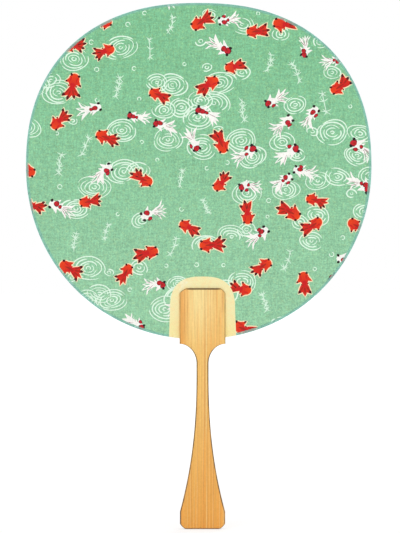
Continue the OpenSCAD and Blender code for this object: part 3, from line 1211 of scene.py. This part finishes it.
def strip_washi(colours):
    """Thin aqua paper of the edge strip: its lips let the print through, its fold is dense."""
    finish = new_finish("strip_washi")
    grain = finish.noise(0.8 * MM, 2.0, 0.6)
    clouds = finish.noise(3 * MM, 2.0, 0.6)
    # Darker patches along the fold.
    patchy = finish.soft_step(finish.noise(26 * MM, 3.0, 0.7), 0.0, 0.18)
    patchy = patchy * finish.soft_step(clouds, -0.2, 0.1)
    spots = finish.soft_step(finish.noise(5 * MM, 3.0, 0.7), 0.0, 0.12) * 0.35
    dense = finish.soft_step(finish.noted("fold"), 0.25, 0.85)
    fold = finish.dab(finish.most(patchy, spots), colours.strip_fold, colours.strip_dark)
    tint = finish.dab(dense, colours.strip, fold)
    level = grain * 0.4 + clouds * 0.4 + 1.0
    alpha = (dense * 0.52 + 0.46) * finish.noted("seen")
    tint = finish.shaded(tint, level)
    return finish.surface(tint, grain * 0.1 + 0.8, grain + clouds * 0.5, 0.03 * MM, Alpha=alpha)


def planed_wood(sizes, colours):
    """Pale, straight-grained wood with darker end grain, painted shade along its rounded edges and a
    painted shadow line under the head's top edge.
    """
    finish = new_finish("planed_wood")
    x, y, z = (finish.part(axis) for axis in "XYZ")
    across = x + finish.noise(30 * MM, 1.0, at=finish.stretched((1.0, 1.0, 0.15))) * (2.5 * MM)

    def grain(size, along, detail=2.0, rough=0.6):
        """Noise drawn out along the wood, more so where along is less."""
        return finish.noise(size, detail, rough, finish.joined(across, y, z * along))

    bands = grain(4.5 * MM, 0.02, rough=0.5)
    streaks = grain(1.5 * MM, 0.012, 3.0)
    hairs = grain(0.35 * MM, 0.03)
    stripes = grain(0.9 * MM, 0.006, rough=0.5)
    mottled = finish.noise(1.2 * MM, 3.0, 0.7)
    phase = across * (FULL_TURN / (2.3 * MM)) + bands * 9.0 + y * 400.0

    def rings(shift, sharpness, low):
        """Thin growth lines, broken where the streaks are weak."""
        wave = finish.sum("SINE", phase + shift) * 0.5 + 0.5
        return wave ** sharpness * finish.soft_step(streaks, low, 0.1)

    growth = rings(0.0, 7, -0.1)
    beside = rings(1.1, 9, -0.05)
    centre = finish.soft_step(abs(x + 1 * MM), 13 * MM, 3 * MM)
    into_head = finish.soft_step(z, 115 * MM, 165 * MM) * (centre * 0.65 + 0.35)
    tint = finish.dab(finish.soft_step(z, 0.0, 110 * MM), colours.foot, colours.neck)
    tint = finish.dab(into_head, tint, colours.head)
    side_band = finish.soft_step(x, -9 * MM, -14 * MM) * finish.soft_step(z, 112 * MM, 130 * MM)
    orange = finish.most(bands * 1.5 + streaks * 1.1 + side_band * 0.55 + 0.12, 0.0)
    tint = finish.dab(finish.sum("MINIMUM", orange, 0.75), tint, colours.streak)
    tint = finish.dab(growth * 0.55, tint, colours.line)
    tint = finish.dab(beside * 0.5, tint, colours.head)
    heart = finish.soft_step(z, 55 * MM, 80 * MM)
    for middle, reach, strength, toward in ((1.7, 0.42, 0.6, colours.line), (2.5, 0.5, 0.75, colours.head)):
        near = 1 - finish.soft_step(abs(across - middle * MM), 0.0, reach * MM)
        tint = finish.dab(near * heart * strength, tint, toward)

    normal = finish.node("TexCoord", output="Normal")
    side_on, face_on, end_on = (abs(finish.part(axis, normal)) for axis in "XYZ")
    # Painted shade: the rounded edges darken where they turn from the face to the side, unevenly along the
    # handle and less on the head.
    patchy = finish.noise(9 * MM, 2.0, at=finish.joined(x * 3.0, y, z)) * 1.8 + 0.88
    head = finish.soft_step(z, sizes.head_low - 4 * MM, sizes.head_low + 2 * MM)
    arris = finish.soft_step(side_on ** 2 * face_on, 0.05, 0.22) * patchy * (1 - head * 0.55)
    # Painted shadow: a dark line just below the head's top edge.
    line = finish.soft_step(z, sizes.length - 1.35 * MM, sizes.length - 1.05 * MM)
    line = line * (1 - finish.soft_step(abs(x - 0.6 * MM), 9.5 * MM, 14 * MM) * 0.8)
    # The end grain's own darker colour, at the foot and on the head's top.
    foot = finish.soft_step(end_on, 0.2, 0.75) * (finish.noise(0.4 * MM, 2.0, 0.7) * 0.4 + 0.7)
    # Gathers the painted edge shade, the painted shadow line and the end grain, all mixed towards the arris
    # colour.
    dark = finish.sum("MINIMUM", finish.most(finish.most(arris, foot), line * 0.9), 0.92)
    level = hairs * 0.3 + streaks * 0.2 + stripes * 0.3 + mottled * 0.25 + 1.0
    tint = finish.dab(finish.most(dark, 0.0), finish.shaded(tint, level), colours.arris)
    rough = hairs * 0.2 + growth * 0.08 + foot * 0.2 + 0.46
    height = hairs * 0.5 + streaks * 0.6 - growth * 0.5
    return finish.surface(tint, rough, height, 0.03 * MM, specular=0.35)


def split_bamboo(sizes, colours):
    """Split bamboo, its fibres along each rib."""
    finish = new_finish("split_bamboo")
    reach, turn = round_hub(finish, sizes)
    along = finish.joined(turn * 0.12, finish.part("Y"), reach * 0.02)
    fibres = finish.noise(0.14 * MM, 3.0, 0.6, along)
    bands = finish.noise(1.1 * MM, 2.0, at=along)
    tint = finish.dab(finish.noted("tone") * 0.8 + bands * 0.6, colours.bamboo, colours.bamboo_skin)
    level = fibres * 0.3 - finish.noted("knot") * 0.18 + 1.0
    tint = finish.shaded(tint, level)
    return finish.surface(tint, fibres * 0.2 + 0.6, fibres, 0.03 * MM, specular=0.35)


def cut_sheet(body, shapes):
    """The sheet's plan, cut along the shapes and along the creases."""
    return arrange(body.outline(body.paper_inset), shapes, body.crease_lines())


def sheet_solid(body, places, triangles, side, hollow):
    """Corners and faces of a sheet that sinks by hollow between the ribs."""

    def outer(spot):
        return body.sheet_out - hollow * body.hollow(spot)

    def inner(_):
        return body.sheet_in

    return paper_solid(places, triangles, side, outer, inner)


def colour_print(mesh, places, triangles, tops, design):
    """Gives each corner of each face its ink, and notes where ink covers the ground."""
    ground = design.inks["ground"]
    inks = []
    cover = []
    for tri, top in zip(triangles, tops):
        for corner in tri:
            tint = ground if top < 0 else design.ink_at(top, places[corner])
            inks += [*tint, 1.0]
            cover.append(0.0 if top < 0 else 1.0)
    rest = len(mesh.loops) - len(cover)
    inks += [*ground, 1.0] * rest
    cover += [0.0] * rest
    mesh.color_attributes.new("ink", "FLOAT_COLOR", "CORNER").data.foreach_set("color", inks)
    mesh.attributes.new("cover", "FLOAT", "CORNER").data.foreach_set("value", cover)


def lay_flat(mesh, outer_count, body):
    """Lays a sheet out flat for baking, its hidden inner face small in a free corner."""
    chart = mesh.uv_layers.new(name="OFBake")
    half = 1.01 * body.reach
    low = body.middle - complex(half, half)
    corner = 0.01
    small = 0.12
    spots = []
    for polygon in mesh.polygons:
        outer = all(k < outer_count for k in polygon.vertices)
        for k in polygon.vertices:
            at = mesh.vertices[k].co
            spot = ((at.x - low.real) / (2 * half), (at.z - low.imag) / (2 * half))
            spots += spot if outer else [corner + small * part for part in spot]
    chart.data.foreach_set("uv", spots)


class FAN_OT_printed_sheet(bpy.types.Operator):
    """Makes the front sheet and its print"""

    bl_idname = "fan.printed_sheet"
    bl_label = "Printed sheet"

    def execute(self, context):
        scene = context.scene
        sizes = scene.fan_body
        body = FanBody(sizes)
        design = Print(scene.fan_print, scene.fan_inks, body)
        design.lay_out()
        places, triangles, tops = cut_sheet(body, design.outlines)
        corners, faces = sheet_solid(body, places, triangles, -1, sizes.front_hollow)
        finish = printed_washi(sizes, scene.fan_inks)
        piece = make_piece("printed_front", corners, faces, finish, ["front_paper"])
        colour_print(piece.data, places, triangles, tops, design)
        lay_flat(piece.data, len(places), body)
        return {"FINISHED"}


class FAN_OT_plain_sheet(bpy.types.Operator):
    """Makes the plain back sheet"""

    bl_idname = "fan.plain_sheet"
    bl_label = "Plain back sheet"

    def execute(self, context):
        sizes = context.scene.fan_body
        body = FanBody(sizes)
        places, triangles, _ = cut_sheet(body, [])
        corners, faces = sheet_solid(body, places, triangles, 1, sizes.back_hollow)
        finish = plain_washi(sizes, context.scene.fan_papers)
        make_piece("washi_back", corners, faces, finish, ["back_paper"])
        return {"FINISHED"}


class FAN_OT_edge_strip(bpy.types.Operator):
    """Folds the binding strip over the edge"""

    bl_idname = "fan.edge_strip"
    bl_label = "Edge strip"

    def execute(self, context):
        sizes = context.scene.fan_body
        body = FanBody(sizes)
        draw = random.Random(STRIP_SEED)
        sway = [draw.uniform(0, FULL_TURN) for _ in range(3)]
        corners = []
        folds = []
        seen = []
        for turn in turns(body.RIM_STEPS):
            uneven = 0.05 * math.sin(5 * turn + sway[0]) + 0.04 * math.sin(17 * turn + sway[1])
            section = strip_section(sizes, sizes.strip_width * (1 + uneven), 0.02 * MM * draw.random())
            for inset, deep, fold, outside in section:
                spot = body.rim_place(turn, inset)
                corners.append((spot.real, deep, spot.imag))
                folds.append(fold)
                seen.append(outside)
        total = len(corners)
        rings = [section] * (body.RIM_STEPS + 1)
        faces = [tuple(k % total for k in face) for face in closed_rings(rings, capped=False)]
        finish = strip_washi(context.scene.fan_papers)
        piece = make_piece("edge_strip", corners, faces, finish, ["edge_binding"])
        note(piece, "fold", folds)
        note(piece, "seen", seen)
        soften(piece, math.radians(50))
        return {"FINISHED"}


class FAN_OT_base_papers(bpy.types.Operator):
    """Cuts the two arched papers at the handle's head"""

    bl_idname = "fan.base_papers"
    bl_label = "Base papers"

    def execute(self, context):
        sizes = context.scene.fan_body
        body = FanBody(sizes)
        finish = base_washi(sizes, context.scene.fan_papers)
        outline = base_outline(sizes, body)
        soft = 0.35 * MM
        # Just past the strip's lip the paper steps down to the sheet
        step = sizes.strip_width + 0.17 * MM
        step_half = 0.03 * MM
        eased = [grow(outline, -inset) for inset in (0.12 * MM, soft)]
        lines = [line + line[:1] for line in eased]
        lines += [body.ring(inset) for inset in (step - step_half, step + step_half)]
        places, triangles, _ = arrange(outline, [], lines)
        edges = {spot: distance_to(outline, spot) for spot in places}

        def outer(spot):
            return sizes.base_out - 0.25 * ease(edges[spot], soft)

        def inner(spot):
            return sizes.sheet_out if body.depth_inside(spot) > step else sizes.strip_out + 0.005 * MM

        for name, node, side in (
            ("front_base_arch", "front_base_paper", -1),
            ("back_base_arch", "back_base_paper", 1),
        ):
            corners, faces = paper_solid(places, triangles, side, outer, inner, doubled=True)
            piece = make_piece(name, corners, faces, finish, [node])
            note(piece, "edge", [1 - held(edges[spot] / (0.8 * MM)) for spot in places] * 2)
            soften(piece)
        return {"FINISHED"}


class FAN_OT_handle(bpy.types.Operator):
    """Shapes the wooden handle and saws its slot"""

    bl_idname = "fan.handle"
    bl_label = "Handle"

    def execute(self, context):
        sizes = context.scene.fan_handle
        body = context.scene.fan_body
        rings = [handle_section(sizes, *station) for station in handle_stations(sizes)]
        finish = planed_wood(sizes, context.scene.fan_wood)
        piece = make_piece(
            "wooden_handle", sum(rings, []), closed_rings(rings), finish, ["handle"]
        )
        low = Vector((-sizes.head_width, -body.base_out, body.low - sizes.slot_gap))
        saw_slot(piece, low, Vector((sizes.head_width, body.base_out, 2 * sizes.length)))
        soften(piece, math.radians(40))
        return {"FINISHED"}


class FAN_OT_ribs(bpy.types.Operator):
    """Lays the split-bamboo ribs between the sheets"""

    bl_idname = "fan.ribs"
    bl_label = "Bamboo ribs"

    def execute(self, context):
        sizes = context.scene.fan_body
        body = FanBody(sizes)
        draw = random.Random(RIB_SEED)
        corners = []
        faces = []
        tones = []
        knots = []
        for number in range(body.rib_count):
            rings, rib_knots = rib_rings(sizes, body, number, draw)
            first = len(corners)
            corners += sum(rings, [])
            faces += [tuple(first + k for k in face) for face in closed_rings(rings)]
            tones += [draw.random()] * (len(corners) - first)
            knots += [knot for knot, ring in zip(rib_knots, rings) for _ in ring]
        finish = split_bamboo(sizes, context.scene.fan_papers)
        piece = make_piece("bamboo_ribs", corners, faces, finish, RIB_NODES)
        note(piece, "tone", tones)
        note(piece, "knot", knots)
        soften(piece)
        return {"FINISHED"}


def add_floor():
    """A plain white floor that keeps the fan's shadow."""
    reach = 12.0
    mesh = bpy.data.meshes.new("studio_floor")
    low = -0.2 * MM
    corners = [(-reach, -reach, low), (reach, -reach, low), (reach, reach, low), (-reach, reach, low)]
    mesh.from_pydata(corners, [], [(0, 1, 2, 3)])
    floor = add_object("studio_floor", mesh)
    finish = new_finish("studio_floor")
    seen = finish.node("LightPath", output="Is Camera Ray")
    away = finish.node("VectorMath", {"operation": "LENGTH"}, {0: finish.place()}, "Value")
    seen = seen * (finish.soft_step(away, 0.15, 0.9) * 0.4 + 0.6)
    matte = finish.node("BsdfDiffuse", inputs={"Color": (0.92, 0.92, 0.92, 1.0)})
    white = finish.node("Emission", inputs={"Color": WHITE, "Strength": 1.18})
    both = finish.node("MixShader", inputs={0: seen, 1: matte, 2: white})
    finish.node("OutputMaterial", inputs={"Surface": both})
    mesh.materials.append(finish.owner)


def add_world(scene):
    """White where it is seen, and a plain soft light elsewhere."""
    scene.world = bpy.data.worlds.new("studio_world")
    finish = Finish(scene.world)
    seen, shiny, clear = (
        finish.node("LightPath", output=f"Is {kind} Ray") for kind in ("Camera", "Glossy", "Transmission")
    )
    strength = finish.most(seen, finish.most(shiny, clear)) * 0.4 + 0.6
    light = finish.node("Background", inputs={"Color": WHITE, "Strength": strength})
    finish.node("OutputWorld", inputs={"Surface": light})


def add_lamp(name, place, power):
    """A square lamp that looks at the fan."""
    aim = Vector((0.0, 0.0, 0.2))
    side = 1.4
    data = bpy.data.lights.new(name, "AREA")
    data.energy = power
    data.size = side
    lamp = add_object(name, data)
    lamp.location = place
    lamp.rotation_euler = (aim - Vector(place)).to_track_quat("-Z", "Y").to_euler()


def add_camera(scene):
    """Looks straight at the printed face, with the whole fan in the frame."""
    away = 1.5
    sensor = 24.0
    view_height = 0.378
    middle_x = -1.8 * MM
    middle_z = 185.8 * MM
    data = bpy.data.cameras.new("studio_camera")
    data.sensor_fit = "VERTICAL"
    data.sensor_height = sensor
    data.lens = sensor * away / view_height
    camera = add_object("studio_camera", data)
    camera.location = (middle_x, -away, middle_z)
    camera.rotation_euler = (UP, 0.0, 0.0)
    scene.camera = camera


class FAN_OT_studio(bpy.types.Operator):
    """Sets the floor, the lamps, the world and the camera"""

    bl_idname = "fan.studio"
    bl_label = "Studio"

    def execute(self, context):
        add_floor()
        add_world(context.scene)
        add_lamp("key_lamp", (-1.1, -1.9, 1.15), 13.6)
        add_lamp("fill_lamp", (1.3, -1.8, 0.7), 8.8)
        add_lamp("back_lamp", (0.7, 1.9, 1.1), 16.0)
        add_camera(context.scene)
        context.scene.view_settings.view_transform = "Standard"
        return {"FINISHED"}


OPERATORS = (
    FAN_OT_studio,
    FAN_OT_handle,
    FAN_OT_ribs,
    FAN_OT_plain_sheet,
    FAN_OT_printed_sheet,
    FAN_OT_edge_strip,
    FAN_OT_base_papers,
)

SETTINGS = {
    "fan_body": FanBodySizes,
    "fan_handle": FanHandleSizes,
    "fan_print": FanPrintSizes,
    "fan_inks": FanPrintInks,
    "fan_papers": FanPaperColours,
    "fan_wood": FanWoodColours,
}


class FAN_PT_fan(bpy.types.Panel):
    """Lists the steps that dress the fan, and their sizes and colours"""

    bl_idname = "FAN_PT_fan"
    bl_label = "Round paper fan"
    bl_space_type = "VIEW_3D"
    bl_region_type = "UI"
    bl_category = "Fan"

    def draw(self, context):
        for operator in OPERATORS:
            self.layout.operator(operator.bl_idname)
        for name, group in SETTINGS.items():
            box = self.layout.box()
            box.label(text=group.__doc__)
            for prop in group.__annotations__:
                box.prop(getattr(context.scene, name), prop)


def register():
    for kind in (*SETTINGS.values(), *OPERATORS, FAN_PT_fan):
        bpy.utils.register_class(kind)
    for name, group in SETTINGS.items():
        setattr(bpy.types.Scene, name, PointerProperty(type=group))


def unregister():
    for name in SETTINGS:
        delattr(bpy.types.Scene, name)
    for kind in (FAN_PT_fan, *reversed(OPERATORS), *reversed(SETTINGS.values())):
        bpy.utils.unregister_class(kind)


def main():
    register()
    for operator in OPERATORS:
        group, step = operator.bl_idname.split(".")
        getattr(getattr(bpy.ops, group), step)()


if __name__ == "__main__":
    main()
